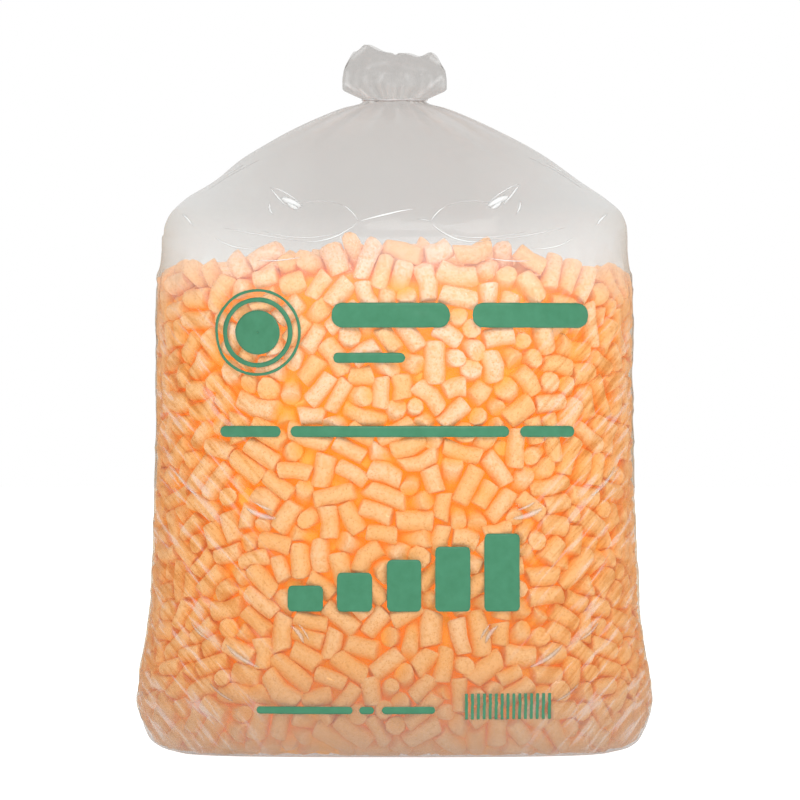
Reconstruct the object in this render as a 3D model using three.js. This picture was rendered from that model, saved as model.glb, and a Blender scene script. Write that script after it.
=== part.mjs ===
// A tied film bag of loose-fill packing chips, standing on its flat base.
// Millimetres, +Z up, origin at the middle of the base, front of the bag towards -Y.
// One clear film bag (body, gathered neck and mouth in one piece), the tie round its neck,
// the settled fill as one solid, and the chips that lie loose on top of the fill.

import * as THREE from 'three';

// ---- driving dimensions -------------------------------------------------------------------
const HEIGHT = 775;            // base to the top of the mouth
const BODY_HALF_WIDTH = 263;   // half width at the middle of the body
const DEPTH_RATIO = 0.79;      // depth over width of the filled body
const NECK_Z = 716;            // height of the tie
const NECK_HALF_WIDTH = 33;
const NECK_HALF_DEPTH = 17;
const WALL = 1.0;              // the film, thickened from about 0.05 so that it is a solid
const GAP = 0.3;               // left between touching pieces
const NECK_CHANNEL = 3;        // half width of the way left through the gathered neck
const MOUTH_TILT = 5;          // the mouth's left end is this much above its middle

const FILL_TOP_Z = 533;        // top of the settled fill in the middle, below the loose chips
const FILL_CROWN = 26;         // how much lower the fill's top is at the film

const CHIP_RADIUS = 12;
const CHIP_LENGTH = 42;
const CHIP_SPACING_X = 66;
const CHIP_SPACING_Y = 56;
const CHIP_WALL_CLEARANCE = 30; // from a chip's middle to the film

const TIE_HEIGHT = 5;
const TIE_THICKNESS = 1.6;

const AROUND = 44;             // corners of each ring of the film and of the fill
const CHIP_SIDES = 8;

// ---- the bag's outer form -----------------------------------------------------------------
// Each row: height, half width, half depth, and the exponent of the ring's outline
// |x/a|^n + |y/b|^n = 1 (2 is an ellipse, larger is boxier).
const D = DEPTH_RATIO;
const RINGS = [
  [0, 236, 236 * D, 2.9],
  [5, 255, 255 * D, 2.8],
  [15, 269, 269 * D, 2.7],
  [32, 278, 278 * D, 2.6],
  [57, 284, 284 * D, 2.5],
  [84, 282, 282 * D, 2.5],
  [120, 275, 275 * D, 2.5],
  [170, 269, 269 * D, 2.5],
  [250, 266, 266 * D, 2.5],
  [330, BODY_HALF_WIDTH, BODY_HALF_WIDTH * D, 2.5],
  [420, BODY_HALF_WIDTH, BODY_HALF_WIDTH * D, 2.5],
  [500, 263, 262 * D, 2.5],
  [545, 261, 254 * D, 2.5],
  [575, 257, 240 * D, 2.5],
  [592, 249, 226 * D, 2.4],
  [604, 237, 212 * D, 2.4],
  [629, 201, 181 * D, 2.3],
  [656, 162, 142 * D, 2.2],
  [683, 112, 98 * D, 2.1],
  [697, 82, 70 * D, 2.0],
  [708, 54, 44 * D, 2.0],
  [NECK_Z - 4, NECK_HALF_WIDTH + 5, NECK_HALF_DEPTH + 3, 2.0],
  [NECK_Z, NECK_HALF_WIDTH, NECK_HALF_DEPTH, 2.0],
  [NECK_Z + 4, NECK_HALF_WIDTH + 6, NECK_HALF_DEPTH + 3, 2.0],
  [728, 53, 27, 2.2],
  [738, 56, 31, 2.3],
  [752, 55, 31, 2.3],
  [762, 51, 27, 2.2],
  [HEIGHT - MOUTH_TILT, 46, 20, 2.2],
];
const MOUTH_BASE_Z = 728;      // from here up, the rings tilt towards the mouth's rim

// One ring of the outline: `count` points of the superellipse with semi-axes a and b.
function outlinePoint(a, b, exponent, turn) {
  const c = Math.cos(turn);
  const s = Math.sin(turn);
  const power = 2 / exponent;
  return [
    a * Math.sign(c) * Math.abs(c) ** power,
    b * Math.sign(s) * Math.abs(s) ** power,
  ];
}

// The outline's half width, half depth and exponent at any height, straight between the rings.
function ringAt(z) {
  let upper = RINGS.findIndex((ring) => ring[0] >= z);
  if (upper < 1) upper = 1;
  const low = RINGS[upper - 1];
  const high = RINGS[upper];
  const t = (z - low[0]) / (high[0] - low[0]);
  return low.map((value, k) => value + t * (high[k] - value));
}

// How much a ring is lifted at x by the mouth's tilt, growing from the tuft's base to its rim.
function mouthLift(x, z) {
  if (z <= MOUTH_BASE_Z) return 0;
  const rise = (z - MOUTH_BASE_Z) / (HEIGHT - MOUTH_TILT - MOUTH_BASE_Z);
  return -MOUTH_TILT * rise * x / 46;
}

// ---- closed surfaces from rings -----------------------------------------------------------
// Skins a stack of rings with equal point counts, and closes both ends with a middle point.
// The rings run from the first end to the last, turning anticlockwise seen from above, and the
// first end is the one that faces down.
function skinRings(rings) {
  const count = rings[0].length;
  const positions = rings.flat(2);
  const ends = [rings[0], rings[rings.length - 1]].map((ring) => {
    const middle = [0, 1, 2].map((k) => ring.reduce((sum, p) => sum + p[k], 0) / count);
    positions.push(...middle);
    return positions.length / 3 - 1;
  });
  const faces = [];
  for (let j = 0; j < rings.length - 1; j += 1) {
    for (let i = 0; i < count; i += 1) {
      const next = (i + 1) % count;
      const a = j * count + i;
      const b = j * count + next;
      const c = a + count;
      const d = b + count;
      faces.push(a, b, d, a, d, c);
    }
  }
  const last = (rings.length - 1) * count;
  for (let i = 0; i < count; i += 1) {
    const next = (i + 1) % count;
    faces.push(ends[0], next, i);
    faces.push(ends[1], last + i, last + next);
  }
  const geometry = new THREE.BufferGeometry();
  geometry.setAttribute('position', new THREE.Float32BufferAttribute(positions, 3));
  geometry.setIndex(faces);
  geometry.computeVertexNormals();
  return geometry;
}

// ---- the film bag -------------------------------------------------------------------------
// Up the outside from the base to the mouth's rim, over it, and down the inside to the floor
// of the bag, so that the inside is open to the air through the gathered neck.
function filmGeometry() {
  const ring = (z, a, b, exponent) => Array.from({ length: AROUND }, (_, i) => {
    const [x, y] = outlinePoint(a, b, exponent, (2 * Math.PI * i) / AROUND);
    return [x, y, z + mouthLift(x, z)];
  });
  const outside = RINGS.map(([z, a, b, exponent]) => ring(z, a, b, exponent));
  const inside = RINGS.map(([z, a, b, exponent]) => {
    const gathered = Math.max(0, 1 - Math.abs(z - NECK_Z) / 12);
    const inner = (half) => (1 - gathered) * (half - WALL) + gathered * NECK_CHANNEL;
    return ring(z === 0 ? WALL : z, inner(a), inner(b), exponent);
  });
  return skinRings([...outside, ...inside.reverse()]);
}

// ---- the neck tie -------------------------------------------------------------------------
// A flat band closed on itself, standing just off the gathered film.
function tieGeometry() {
  const inner = ringAt(NECK_Z + TIE_HEIGHT / 2);
  const loop = (a, b) => Array.from({ length: AROUND }, (_, i) => {
    const [x, y] = outlinePoint(a, b, 2, (2 * Math.PI * i) / AROUND);
    return new THREE.Vector2(x, y);
  });
  const clear = GAP + 0.2;
  const band = new THREE.Shape(loop(
    inner[1] + clear + TIE_THICKNESS,
    inner[2] + clear + TIE_THICKNESS,
  ));
  band.holes.push(new THREE.Path(loop(inner[1] + clear, inner[2] + clear)));
  const geometry = new THREE.ExtrudeGeometry(band, { depth: TIE_HEIGHT, bevelEnabled: false });
  geometry.translate(0, 0, NECK_Z - TIE_HEIGHT / 2);
  return geometry;
}

// ---- the settled fill ---------------------------------------------------------------------
// The fill's top: a shallow mound, FILL_CROWN lower at the film than in the middle.
function fillTop(x, y) {
  const [, a, b] = ringAt(FILL_TOP_Z);
  const out = Math.min(1, Math.hypot(x / a, y / b));
  return FILL_TOP_Z - FILL_CROWN * out ** 2;
}

function fillGeometry() {
  const clear = WALL + GAP;
  const edgeZ = FILL_TOP_Z - FILL_CROWN;
  const heights = RINGS.map((ring) => ring[0]).filter((z) => z < edgeZ);
  const ring = (z, scale, height) => {
    const [, a, b, exponent] = ringAt(z);
    return Array.from({ length: AROUND }, (_, i) => {
      const turn = (2 * Math.PI * i) / AROUND;
      const [x, y] = outlinePoint((a - clear) * scale, (b - clear) * scale, exponent, turn);
      return [x, y, height(x, y)];
    });
  };
  const sides = heights.map((z) => ring(z, 1, () => (z === 0 ? WALL + GAP : z)));
  const mound = [1, 0.82, 0.62, 0.4, 0.18].map((scale) => ring(edgeZ, scale, fillTop));
  return skinRings([...sides, ...mound]);
}

// ---- the loose chips on top ---------------------------------------------------------------
// An extruded foam rod cut to length: a round bar whose cut ends have softened edges.
function chipGeometry(radius, length) {
  const soft = radius * 0.22;
  const half = length / 2;
  const profile = [
    new THREE.Vector2(0, -half),
    new THREE.Vector2(radius - soft, -half),
    new THREE.Vector2(radius, -half + soft),
    new THREE.Vector2(radius, half - soft),
    new THREE.Vector2(radius - soft, half),
    new THREE.Vector2(0, half),
  ];
  return new THREE.LatheGeometry(profile, CHIP_SIDES);
}

// Where the chips lie: staggered rows across the mound, kept clear of the film.
function chipPlaces() {
  const places = [];
  const [, a, b, exponent] = ringAt(FILL_TOP_Z + CHIP_RADIUS);
  const rows = Math.ceil(b / CHIP_SPACING_Y);
  const columns = Math.ceil(a / CHIP_SPACING_X);
  for (let row = -rows; row <= rows; row += 1) {
    for (let column = -columns; column <= columns; column += 1) {
      const x = (column + (row % 2 === 0 ? 0 : 0.5)) * CHIP_SPACING_X;
      const y = row * CHIP_SPACING_Y;
      const reach = (Math.abs(x) / (a - CHIP_WALL_CLEARANCE)) ** exponent
        + (Math.abs(y) / (b - CHIP_WALL_CLEARANCE)) ** exponent;
      if (reach < 1) places.push([x, y]);
    }
  }
  return places;
}

// ---- the assembly -------------------------------------------------------------------------
const film = new THREE.MeshStandardMaterial({
  color: '#d8d6d4', roughness: 0.18, metalness: 0, transparent: true, opacity: 0.35,
});
const band = new THREE.MeshStandardMaterial({ color: '#e9dedb', roughness: 0.35, metalness: 0 });
const starch = new THREE.MeshStandardMaterial({ color: '#ffc08a', roughness: 0.85, metalness: 0 });

const bag = new THREE.Group();

function addPiece(name, geometry, material) {
  const mesh = new THREE.Mesh(geometry, material);
  mesh.name = name;
  bag.add(mesh);
  return mesh;
}

addPiece('film_bag', filmGeometry(), film);
addPiece('neck_tie', tieGeometry(), band);
addPiece('settled_fill', fillGeometry(), starch);

chipPlaces().forEach(([x, y], k) => {
  const radius = CHIP_RADIUS * (1 + 0.05 * Math.sin(2.1 * k));
  const length = CHIP_LENGTH * (1 + 0.16 * Math.sin(3.7 * k + 1));
  const heading = 2.399963 * k;
  const reach = length / 2;
  const under = [-1, 0, 1].map((end) => fillTop(
    x + end * reach * Math.cos(heading),
    y + end * reach * Math.sin(heading),
  ));
  const name = `loose_chip_${String(k + 1).padStart(2, '0')}`;
  const chip = addPiece(name, chipGeometry(radius, length), starch);
  chip.rotation.z = heading - Math.PI / 2;
  chip.position.set(x, y, Math.max(...under) + radius + GAP);
});

export default bag;
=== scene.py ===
"""A tied clear film bag of extruded starch packing chips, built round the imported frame.

Every length is in metres. The bag stands on its base with its front towards -Y.
The film, the tie, the chips and the print are surfaces worked out as whole arrays.
"""

import math

import bpy
import numpy as np
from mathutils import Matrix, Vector


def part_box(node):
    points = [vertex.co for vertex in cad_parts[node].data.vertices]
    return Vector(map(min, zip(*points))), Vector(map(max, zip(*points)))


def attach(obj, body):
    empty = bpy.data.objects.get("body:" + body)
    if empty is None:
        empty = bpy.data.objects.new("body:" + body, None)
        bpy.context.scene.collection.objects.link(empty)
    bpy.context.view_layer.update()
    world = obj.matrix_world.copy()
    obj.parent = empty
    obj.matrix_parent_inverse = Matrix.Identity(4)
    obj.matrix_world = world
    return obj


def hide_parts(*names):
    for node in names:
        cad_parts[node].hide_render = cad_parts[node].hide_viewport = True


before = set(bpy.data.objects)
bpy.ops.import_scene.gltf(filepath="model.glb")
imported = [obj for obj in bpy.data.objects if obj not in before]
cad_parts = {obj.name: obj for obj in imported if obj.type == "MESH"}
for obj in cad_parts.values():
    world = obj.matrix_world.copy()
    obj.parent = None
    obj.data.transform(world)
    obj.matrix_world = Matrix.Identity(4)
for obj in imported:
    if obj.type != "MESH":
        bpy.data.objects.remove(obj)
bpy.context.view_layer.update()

MM = 0.001
TAU = 2 * math.pi
rng = np.random.default_rng(41)

# ---- what the frame gives -------------------------------------------------------------------
FILM_LOW, FILM_HIGH = (np.array(corner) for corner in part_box("film_bag"))
TIE_LOW, TIE_HIGH = (np.array(corner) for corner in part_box("neck_tie"))
FILL_LOW, FILL_HIGH = (np.array(corner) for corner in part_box("settled_fill"))
NECK_Z = (TIE_LOW[2] + TIE_HIGH[2]) / 2
FILL_TOP = FILL_HIGH[2] + 34 * MM

# ---- the film -------------------------------------------------------------------------------
FILM_WALL = 0.3 * MM
FILM_COLUMNS = 264
BASE_ROWS = 9
BODY_ROWS = 142
TUFT_ROWS = 24
SLACK = 5 * MM
GAP_WINDOW = 4
FILM_CLEARANCE = 0.5 * MM
PRINT_LIFT = 0.25 * MM
# Share of doubled film by height: real gathers at the very foot, the neck and the tuft; between the foot and
# the fill's middle it is painted shade, greyer lower down.
GATHER_AND_SHADE_AT = np.array([0, 15, 40, 80, 200, 520, 556, 590, 640, 716, 775]) * MM
GATHER_AND_SHADE_SHARE = np.array([1.0, 1.0, 0.85, 0.6, 0.3, 0.0, 0.58, 0.80, 0.84, 1.0, 0.95])
PLEATS = 13
PLEAT_SHIFT = rng.uniform(-0.12, 0.12, PLEATS)
PLEAT_START = NECK_Z - rng.uniform(60 * MM, 130 * MM, PLEATS)
PLEAT_DEPTH = rng.uniform(0.06, 0.18, PLEATS)

# ---- the chips ------------------------------------------------------------------------------
CHIP_COUNT = 5600
CHIP_SIDES = 9
CHIP_RADIUS = 11.4 * MM
CHIP_HALF_LENGTH = 18.4 * MM
FILL_CROWN = 42 * MM
PACKING_STEPS = 220
BEAD_INSET = 0.80
BEAD_REACH = 2.35 * CHIP_RADIUS
BEAD_CLEARANCE = 1.0 * MM
SETTLING = 0.10 * MM
OUTWARD_DRIFT = 0.25 * MM
OUTER_CHIPS = 45 * MM
CHIP_CLEARANCE = 1.2 * MM
TOP_LAYER = 30 * MM
CROWN_LAYER = 60 * MM
BURIED_AT = np.array([1.5, 5, 11, 22]) * MM
BURIED_SHARE = (0.0, 0.22, 0.72, 1.0)
CHIP_PIECES = ("chips_low", "chips_lower_middle", "chips_upper_middle", "chips_high")


# =============================================================================================
# The bag's form
# =============================================================================================


def outline_rows():
    """Height, half width and half depth of the film's outer wall, read off the CAD film's rings."""
    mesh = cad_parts["film_bag"].data
    points = np.empty(len(mesh.vertices) * 3, np.float32)
    mesh.vertices.foreach_get("co", points)
    points = points.reshape(-1, 3).astype(float)
    heights = np.unique(np.round(points[points[:, 2] < NECK_Z + 1 * MM, 2], 4))
    rows = []
    for height in heights:
        ring = points[np.abs(points[:, 2] - height) < 0.2 * MM]
        row = (height, ring[:, 0].max(), ring[:, 1].max())
        if len(rows) == 0 or height - rows[-1][0] > 2 * MM:
            rows.append(row)
    return np.array(rows)


def smooth_through(x, y, at):
    """A curve through the points (x, y) that never overshoots them: cubic pieces whose slope at
    each point is the harmonic mean of the slopes beside it, or zero at a turn."""
    step = np.diff(x)
    slope = np.diff(y) / step
    product = slope[1:] * slope[:-1]
    total = np.where(product > 0, slope[1:] + slope[:-1], 1.0)
    inner = np.where(product > 0, 2 * product / total, 0.0)
    tangent = np.concatenate([slope[:1], inner, slope[-1:]])
    k = np.clip(np.searchsorted(x, at) - 1, 0, len(step) - 1)
    t = (at - x[k]) / step[k]
    return (
        (1 + 2 * t) * (1 - t) ** 2 * y[k]
        + t * (1 - t) ** 2 * step[k] * tangent[k]
        + t * t * (3 - 2 * t) * y[k + 1]
        - t * t * (1 - t) * step[k] * tangent[k + 1]
    )


OUTLINE = outline_rows()
FINE_Z = np.linspace(0, OUTLINE[-1, 0], 1500)
FINE_WIDTH = smooth_through(OUTLINE[:, 0], OUTLINE[:, 1], FINE_Z)
FINE_DEPTH = smooth_through(OUTLINE[:, 0], OUTLINE[:, 2], FINE_Z)


def half_width(z):
    return np.interp(z, FINE_Z, FINE_WIDTH)


def half_depth(z):
    return np.interp(z, FINE_Z, FINE_DEPTH)


def outline_power(z):
    """Boxy at the foot, easing to an ellipse at the neck."""
    return np.interp(z, [0, 0.06, 0.575, 0.66, 0.716], [2.9, 2.5, 2.5, 2.2, 2.0])


def ring_point(turn, z):
    """A point of the outline |x/a|^n + |y/b|^n = 1 at a height, for an angle round the bag."""
    power = 2 / outline_power(z)
    c, s = np.cos(turn), np.sin(turn)
    x = half_width(z) * np.sign(c) * np.abs(c) ** power
    y = half_depth(z) * np.sign(s) * np.abs(s) ** power
    return x, y


def inside_depth(points):
    """How far each point is inside the film's wall, and the wall's inward direction there.
    The wall is where f = |x/a|^n + |y/b|^n - 1 is zero, and the distance is -f over f's slope."""
    z = np.clip(points[:, 2], 0, NECK_Z)
    a, b, n = half_width(z), half_depth(z), outline_power(z)
    u = np.abs(points[:, 0]) / a
    v = np.abs(points[:, 1]) / b
    level = np.maximum(u**n + v**n, 1e-6) ** (1 / n)
    slope_x = (u / level) ** (n - 1) * np.sign(points[:, 0]) / a
    slope_y = (v / level) ** (n - 1) * np.sign(points[:, 1]) / b
    rate = (half_width(z + 1 * MM) - half_width(z - 1 * MM)) / (2 * MM)
    slope_z = -level * rate / a
    steep = np.sqrt(slope_x**2 + slope_y**2 + slope_z**2) + 1e-9
    inward = -np.stack([slope_x, slope_y, slope_z], 1) / steep[:, None]
    return (1 - level) / steep, inward


# =============================================================================================
# Meshes
# =============================================================================================


def mesh_piece(name, points, faces, flat=()):
    """A mesh object from an (n, 3) array of points and a list of (m, k) arrays of faces. The
    faces are shaded smooth, except those of the arrays numbered in flat."""
    mesh = bpy.data.meshes.new(name)
    loops = np.concatenate([block.ravel() for block in faces]).astype(np.int32)
    sizes = np.concatenate([np.full(len(block), block.shape[1]) for block in faces])
    starts = np.concatenate([[0], np.cumsum(sizes)[:-1]]).astype(np.int32)
    mesh.vertices.add(len(points))
    mesh.vertices.foreach_set("co", np.ascontiguousarray(points, np.float32).ravel())
    mesh.loops.add(len(loops))
    mesh.loops.foreach_set("vertex_index", loops)
    mesh.polygons.add(len(sizes))
    mesh.polygons.foreach_set("loop_start", starts)
    mesh.update(calc_edges=True)
    smooth = np.concatenate([np.full(len(b), k not in flat) for k, b in enumerate(faces)])
    mesh.polygons.foreach_set("use_smooth", smooth)
    mesh.update()
    piece = bpy.data.objects.new(name, mesh)
    bpy.context.scene.collection.objects.link(piece)
    return piece


def add_attribute(piece, name, values):
    """A number for each vertex, which a material reads by name."""
    layer = piece.data.attributes.new(name, "FLOAT", "POINT")
    layer.data.foreach_set("value", np.ascontiguousarray(values, np.float32).ravel())


def grid_faces(rows, columns, wrap):
    """Four-sided faces of a grid of points in row order. With wrap, the last column meets the
    first. Rows run up and columns anticlockwise, so the faces point out."""
    across = columns if wrap else columns - 1
    i, j = np.meshgrid(np.arange(across), np.arange(rows - 1))
    right = (i + 1) % columns
    low, high = j * columns, (j + 1) * columns
    return np.stack([low + i, low + right, high + right, high + i], -1).reshape(-1, 4)


# =============================================================================================
# Packing the chips
# =============================================================================================


def fill_top(x, y):
    """The fill's top: a shallow mound with slow hollows, lower towards the sides."""
    across, deep = x / half_width(FILL_TOP), y / half_depth(FILL_TOP)
    out = np.clip(0.95 * across**2 + 0.05 * deep**2, 0, 1)
    hollows = 4 * MM * np.sin(x / 0.041 + 1.0) * np.cos(y / 0.053 + 0.4)
    return FILL_TOP - FILL_CROWN * out + hollows


def near_pairs(beads, chip_of, reach):
    """Pairs of beads of different chips closer than reach. The beads are sorted into cubes of
    side reach, and each cube is compared with itself and with half of its neighbours."""
    cell = np.floor((beads - beads.min(0)) / reach).astype(np.int64) + 1
    sides = cell.max(0) + 2
    key = (cell[:, 2] * sides[1] + cell[:, 1]) * sides[0] + cell[:, 0]
    order = np.argsort(key, kind="stable")
    ranked = key[order]
    firsts, seconds = [], []
    steps = [
        (dx, dy, dz)
        for dz in (-1, 0, 1)
        for dy in (-1, 0, 1)
        for dx in (-1, 0, 1)
        if (dz, dy, dx) >= (0, 0, 0)
    ]
    for dx, dy, dz in steps:
        other = ranked + (dz * sides[1] + dy) * sides[0] + dx
        start = np.searchsorted(ranked, other, "left")
        stop = np.searchsorted(ranked, other, "right")
        if (dx, dy, dz) == (0, 0, 0):
            start = np.arange(len(ranked)) + 1
        count = np.maximum(stop - start, 0)
        first = np.repeat(np.arange(len(ranked)), count)
        within = np.arange(len(first)) - np.repeat(np.cumsum(count) - count, count)
        second = np.repeat(start, count) + within
        firsts.append(order[first])
        seconds.append(order[second])
    first, second = np.concatenate(firsts), np.concatenate(seconds)
    apart = beads[first] - beads[second]
    keep = (chip_of[first] != chip_of[second]) & ((apart**2).sum(1) < reach**2)
    return first[keep], second[keep]


def add_at(index, values, length):
    """Sums rows of values by index."""
    return np.stack([np.bincount(index, values[:, k], length) for k in range(3)], 1)


def pack_chips():
    """Middles, directions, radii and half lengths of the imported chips.

    Each chip is a row of three round beads. The chips start scattered through the fill. Each
    step moves overlapping beads apart by a share of their overlap and beads outside the film,
    below the base or above the fill's top back in. A chip moves by its beads' mean shift and
    turns by their moment about its middle. Chips still overlap when the steps end."""
    count = CHIP_COUNT
    radius = CHIP_RADIUS * rng.uniform(0.86, 1.12, count)
    half = CHIP_HALF_LENGTH * np.clip(rng.normal(1.0, 0.16, count), 0.68, 1.4)
    middle = np.empty((0, 3))
    low = np.array([FILL_LOW[0], FILL_LOW[1], 8 * MM])
    high = np.array([FILL_HIGH[0], FILL_HIGH[1], FILL_TOP])
    while len(middle) < count:
        tries = rng.uniform(low, high, (count, 3))
        depth, _ = inside_depth(tries)
        good = (depth > 10 * MM) & (tries[:, 2] < fill_top(tries[:, 0], tries[:, 1]) - 8 * MM)
        middle = np.concatenate([middle, tries[good]])
    middle = middle[:count]
    heading = rng.normal(size=(count, 3))
    heading /= np.linalg.norm(heading, axis=1)[:, None]

    chip_of = np.repeat(np.arange(count), 3)
    place = np.tile([-1.0, 0.0, 1.0], count)
    arm = (half - radius * BEAD_INSET)[chip_of] * place
    bead_radius = radius[chip_of]
    inertia = np.maximum((arm.reshape(-1, 3) ** 2).sum(1), 1e-9)
    first = second = None
    for step in range(PACKING_STEPS):
        beads = middle[chip_of] + heading[chip_of] * arm[:, None]
        if step % 6 == 0:
            first, second = near_pairs(beads, chip_of, BEAD_REACH)
        apart = beads[first] - beads[second]
        distance = np.linalg.norm(apart, axis=1) + 1e-9
        overlap = bead_radius[first] + bead_radius[second] - distance
        hit = overlap > 0
        push = apart[hit] * (0.5 * overlap[hit] / distance[hit])[:, None]
        touches = np.bincount(first[hit], minlength=len(beads))
        touches = touches + np.bincount(second[hit], minlength=len(beads))
        shift = add_at(first[hit], push, len(beads)) - add_at(second[hit], push, len(beads))
        shift /= np.maximum(touches, 1)[:, None] ** 0.5
        shift[:, 2] -= SETTLING
        depth, inward = inside_depth(beads)
        shift -= inward * (OUTWARD_DRIFT * (depth < OUTER_CHIPS))[:, None]
        outside = np.maximum(bead_radius + BEAD_CLEARANCE - depth, 0)
        shift += inward * outside[:, None]
        shift[:, 2] += np.maximum(bead_radius + BEAD_CLEARANCE - beads[:, 2], 0)
        above = beads[:, 2] + bead_radius - fill_top(beads[:, 0], beads[:, 1])
        shift[:, 2] -= np.maximum(above, 0) * 0.6
        moved = add_at(chip_of, shift, count) / 2.2
        turned = add_at(chip_of, shift * arm[:, None], count) / inertia[:, None]
        middle = middle + np.clip(moved, -4 * MM, 4 * MM)
        heading = heading + np.clip(turned, -0.25, 0.25)
        heading /= np.linalg.norm(heading, axis=1)[:, None]
    return middle, heading, radius, half


def chip_meshes(middle, heading, radius, half):
    """Closed chips as one array of points, with the faces of one chip.

    A chip is a bar along its own axis s from -1 to 1, with seven rings. The radius is full along
    the middle and rounds in at the flat cut ends. The axis is bent into a shallow arc, one end is a
    little thicker, the section is squashed to an oval with a few soft flutes, and each cut end
    leans a little."""
    count = len(middle)
    along = np.array([-1.0, -0.96, -0.86, 0.0, 0.86, 0.96, 1.0])
    swell = np.array([0.76, 0.92, 0.99, 1.0, 0.99, 0.92, 0.76])
    turn = np.arange(CHIP_SIDES) * TAU / CHIP_SIDES
    helper = np.where(np.abs(heading[:, 2:3]) < 0.8, [[0.0, 0.0, 1.0]], [[1.0, 0.0, 0.0]])
    side = np.cross(heading, helper)
    side /= np.linalg.norm(side, axis=1)[:, None]
    up = np.cross(heading, side)
    roll = rng.uniform(0, TAU, count)
    cos, sin = np.cos(roll)[:, None], np.sin(roll)[:, None]
    side, up = side * cos + up * sin, up * cos - side * sin

    bend = np.abs(rng.normal(0, 0.16, count)) * half
    squash = rng.uniform(0.86, 1.0, count)
    flute = rng.uniform(0.0, 0.055, count)
    phase = rng.uniform(0, TAU, count)
    lean = rng.normal(0, 0.18, (count, 2))
    waist = rng.normal(0, 0.06, (count, 1, 1))
    taper = rng.normal(0, 0.06, (count, 1, 1))

    s = along[None, :, None]
    t = turn[None, None, :]
    girth = radius[:, None, None] * swell[None, :, None] * (1 + waist * (1 - s**2) + taper * s)
    girth = girth * (1 + flute[:, None, None] * np.cos(3 * t + phase[:, None, None]))
    a = girth * np.cos(t)
    b = girth * np.sin(t) * squash[:, None, None]
    slant = lean[:, 0, None, None] * a + lean[:, 1, None, None] * b
    axis = s * half[:, None, None] + slant * np.abs(s) ** 3 * np.sign(s)
    a = a + bend[:, None, None] * (0.5 - s**2)
    points = (
        middle[:, None, None, :]
        + axis[..., None] * heading[:, None, None, :]
        + a[..., None] * side[:, None, None, :]
        + b[..., None] * up[:, None, None, :]
    )
    rings, sides = len(along), CHIP_SIDES
    walls = grid_faces(rings, sides, wrap=True)
    ends = np.stack([np.arange(sides)[::-1], (rings - 1) * sides + np.arange(sides)])
    return points.reshape(count, rings * sides, 3), walls, ends


def pressed_inside(points):
    """Moves whole chips in, so that their furthest corners come about CHIP_CLEARANCE inside the
    bag's smooth form. The film itself is drawn in later, so a few corners still reach past it."""
    for _ in range(2):
        depth, inward = inside_depth(points.reshape(-1, 3))
        depth = depth.reshape(len(points), -1)
        worst = depth.argmin(1)
        each = np.arange(len(points))
        short = np.maximum(CHIP_CLEARANCE - depth[each, worst], 0)
        push = inward.reshape(points.shape)[each, worst] * short[:, None]
        push[:, 2] += np.maximum(CHIP_CLEARANCE - points[:, :, 2].min(1) - push[:, 2], 0)
        points = points + push[:, None]
    return points


def make_chips():
    """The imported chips, in four pieces from the base up. Each vertex keeps its chip's own
    shade, how deep it is buried and how brightly its part of the bag is lit: by choice, most at
    the upper middle and least at the foot and sides. The crown is the fill's open top."""
    packing = pack_chips()
    middle = packing[0]
    points, walls, ends = chip_meshes(*packing)
    points = pressed_inside(points)
    shade = rng.uniform(0, 1, len(middle))
    order = np.argsort(middle[:, 2], kind="stable")
    pieces = []
    for name, members in zip(CHIP_PIECES, np.array_split(order, len(CHIP_PIECES))):
        size = points.shape[1]
        offset = (np.arange(len(members)) * size)[:, None, None]
        blocks = [
            (block[None] + offset).reshape(-1, block.shape[1]) for block in (walls, ends)
        ]
        piece = mesh_piece(name, points[members].reshape(-1, 3), blocks, flat=(1,))
        add_attribute(piece, "shade", np.repeat(shade[members], size))
        side = np.clip((np.abs(points[members][..., 0]) - 90 * MM) / (150 * MM), 0, 1)
        lit = np.clip(points[members][..., 2] / (500 * MM), 0, 1) * (1 - 0.6 * side)
        add_attribute(piece, "lit", lit)
        place = points[members].reshape(-1, 3)
        under = fill_top(place[:, 0], place[:, 1]) - place[:, 2]
        depth = inside_depth(place)[0]
        open_top = np.clip(1 - under / CROWN_LAYER, 0, 1) * np.clip(depth / CROWN_LAYER, 0.3, 1)
        add_attribute(piece, "crown", open_top)
        depth = np.minimum(depth, under - TOP_LAYER)
        add_attribute(piece, "buried", np.interp(depth, BURIED_AT, BURIED_SHARE))
        pieces.append(piece)
    return pieces, points


# =============================================================================================
# The film
# =============================================================================================


def film_heights():
    """Heights of the film's rows from the foot to the neck, closer together round the foot, the
    shoulders and the neck, where the form turns quickly."""
    z = np.linspace(0, NECK_Z, 3000)
    near = np.exp(-(((z - 585 * MM) / (55 * MM)) ** 2)) * 1.1
    near += np.exp(-z / (16 * MM)) * 3.0
    near += np.exp(-(NECK_Z - z) / (22 * MM)) * 4.0
    total = np.cumsum(1 + near)
    total = (total - total[0]) / (total[-1] - total[0])
    return np.interp(np.linspace(0, 1, BODY_ROWS), total, z)


def ridge(offset, width):
    """A sharp fold's section: 1 at its crest, falling off on both sides."""
    return np.exp(-np.abs(offset) / width)


def neck_pleats(turn, z):
    """The gather towards the tie, as a share of the radius: sharp folds that start at different
    heights on the shoulders and deepen towards the neck."""
    amount = np.zeros_like(turn)
    for k in range(PLEATS):
        centre = TAU * (k + 0.5) / PLEATS + PLEAT_SHIFT[k]
        start = PLEAT_START[k]
        grow = np.clip((z - start) / (NECK_Z - start), 0, 1) ** 1.8
        width = 0.05 + 0.16 * (1 - grow)
        away = np.angle(np.exp(1j * (turn - centre)))
        amount += PLEAT_DEPTH[k] * grow * ridge(away, width)
    return amount


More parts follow.
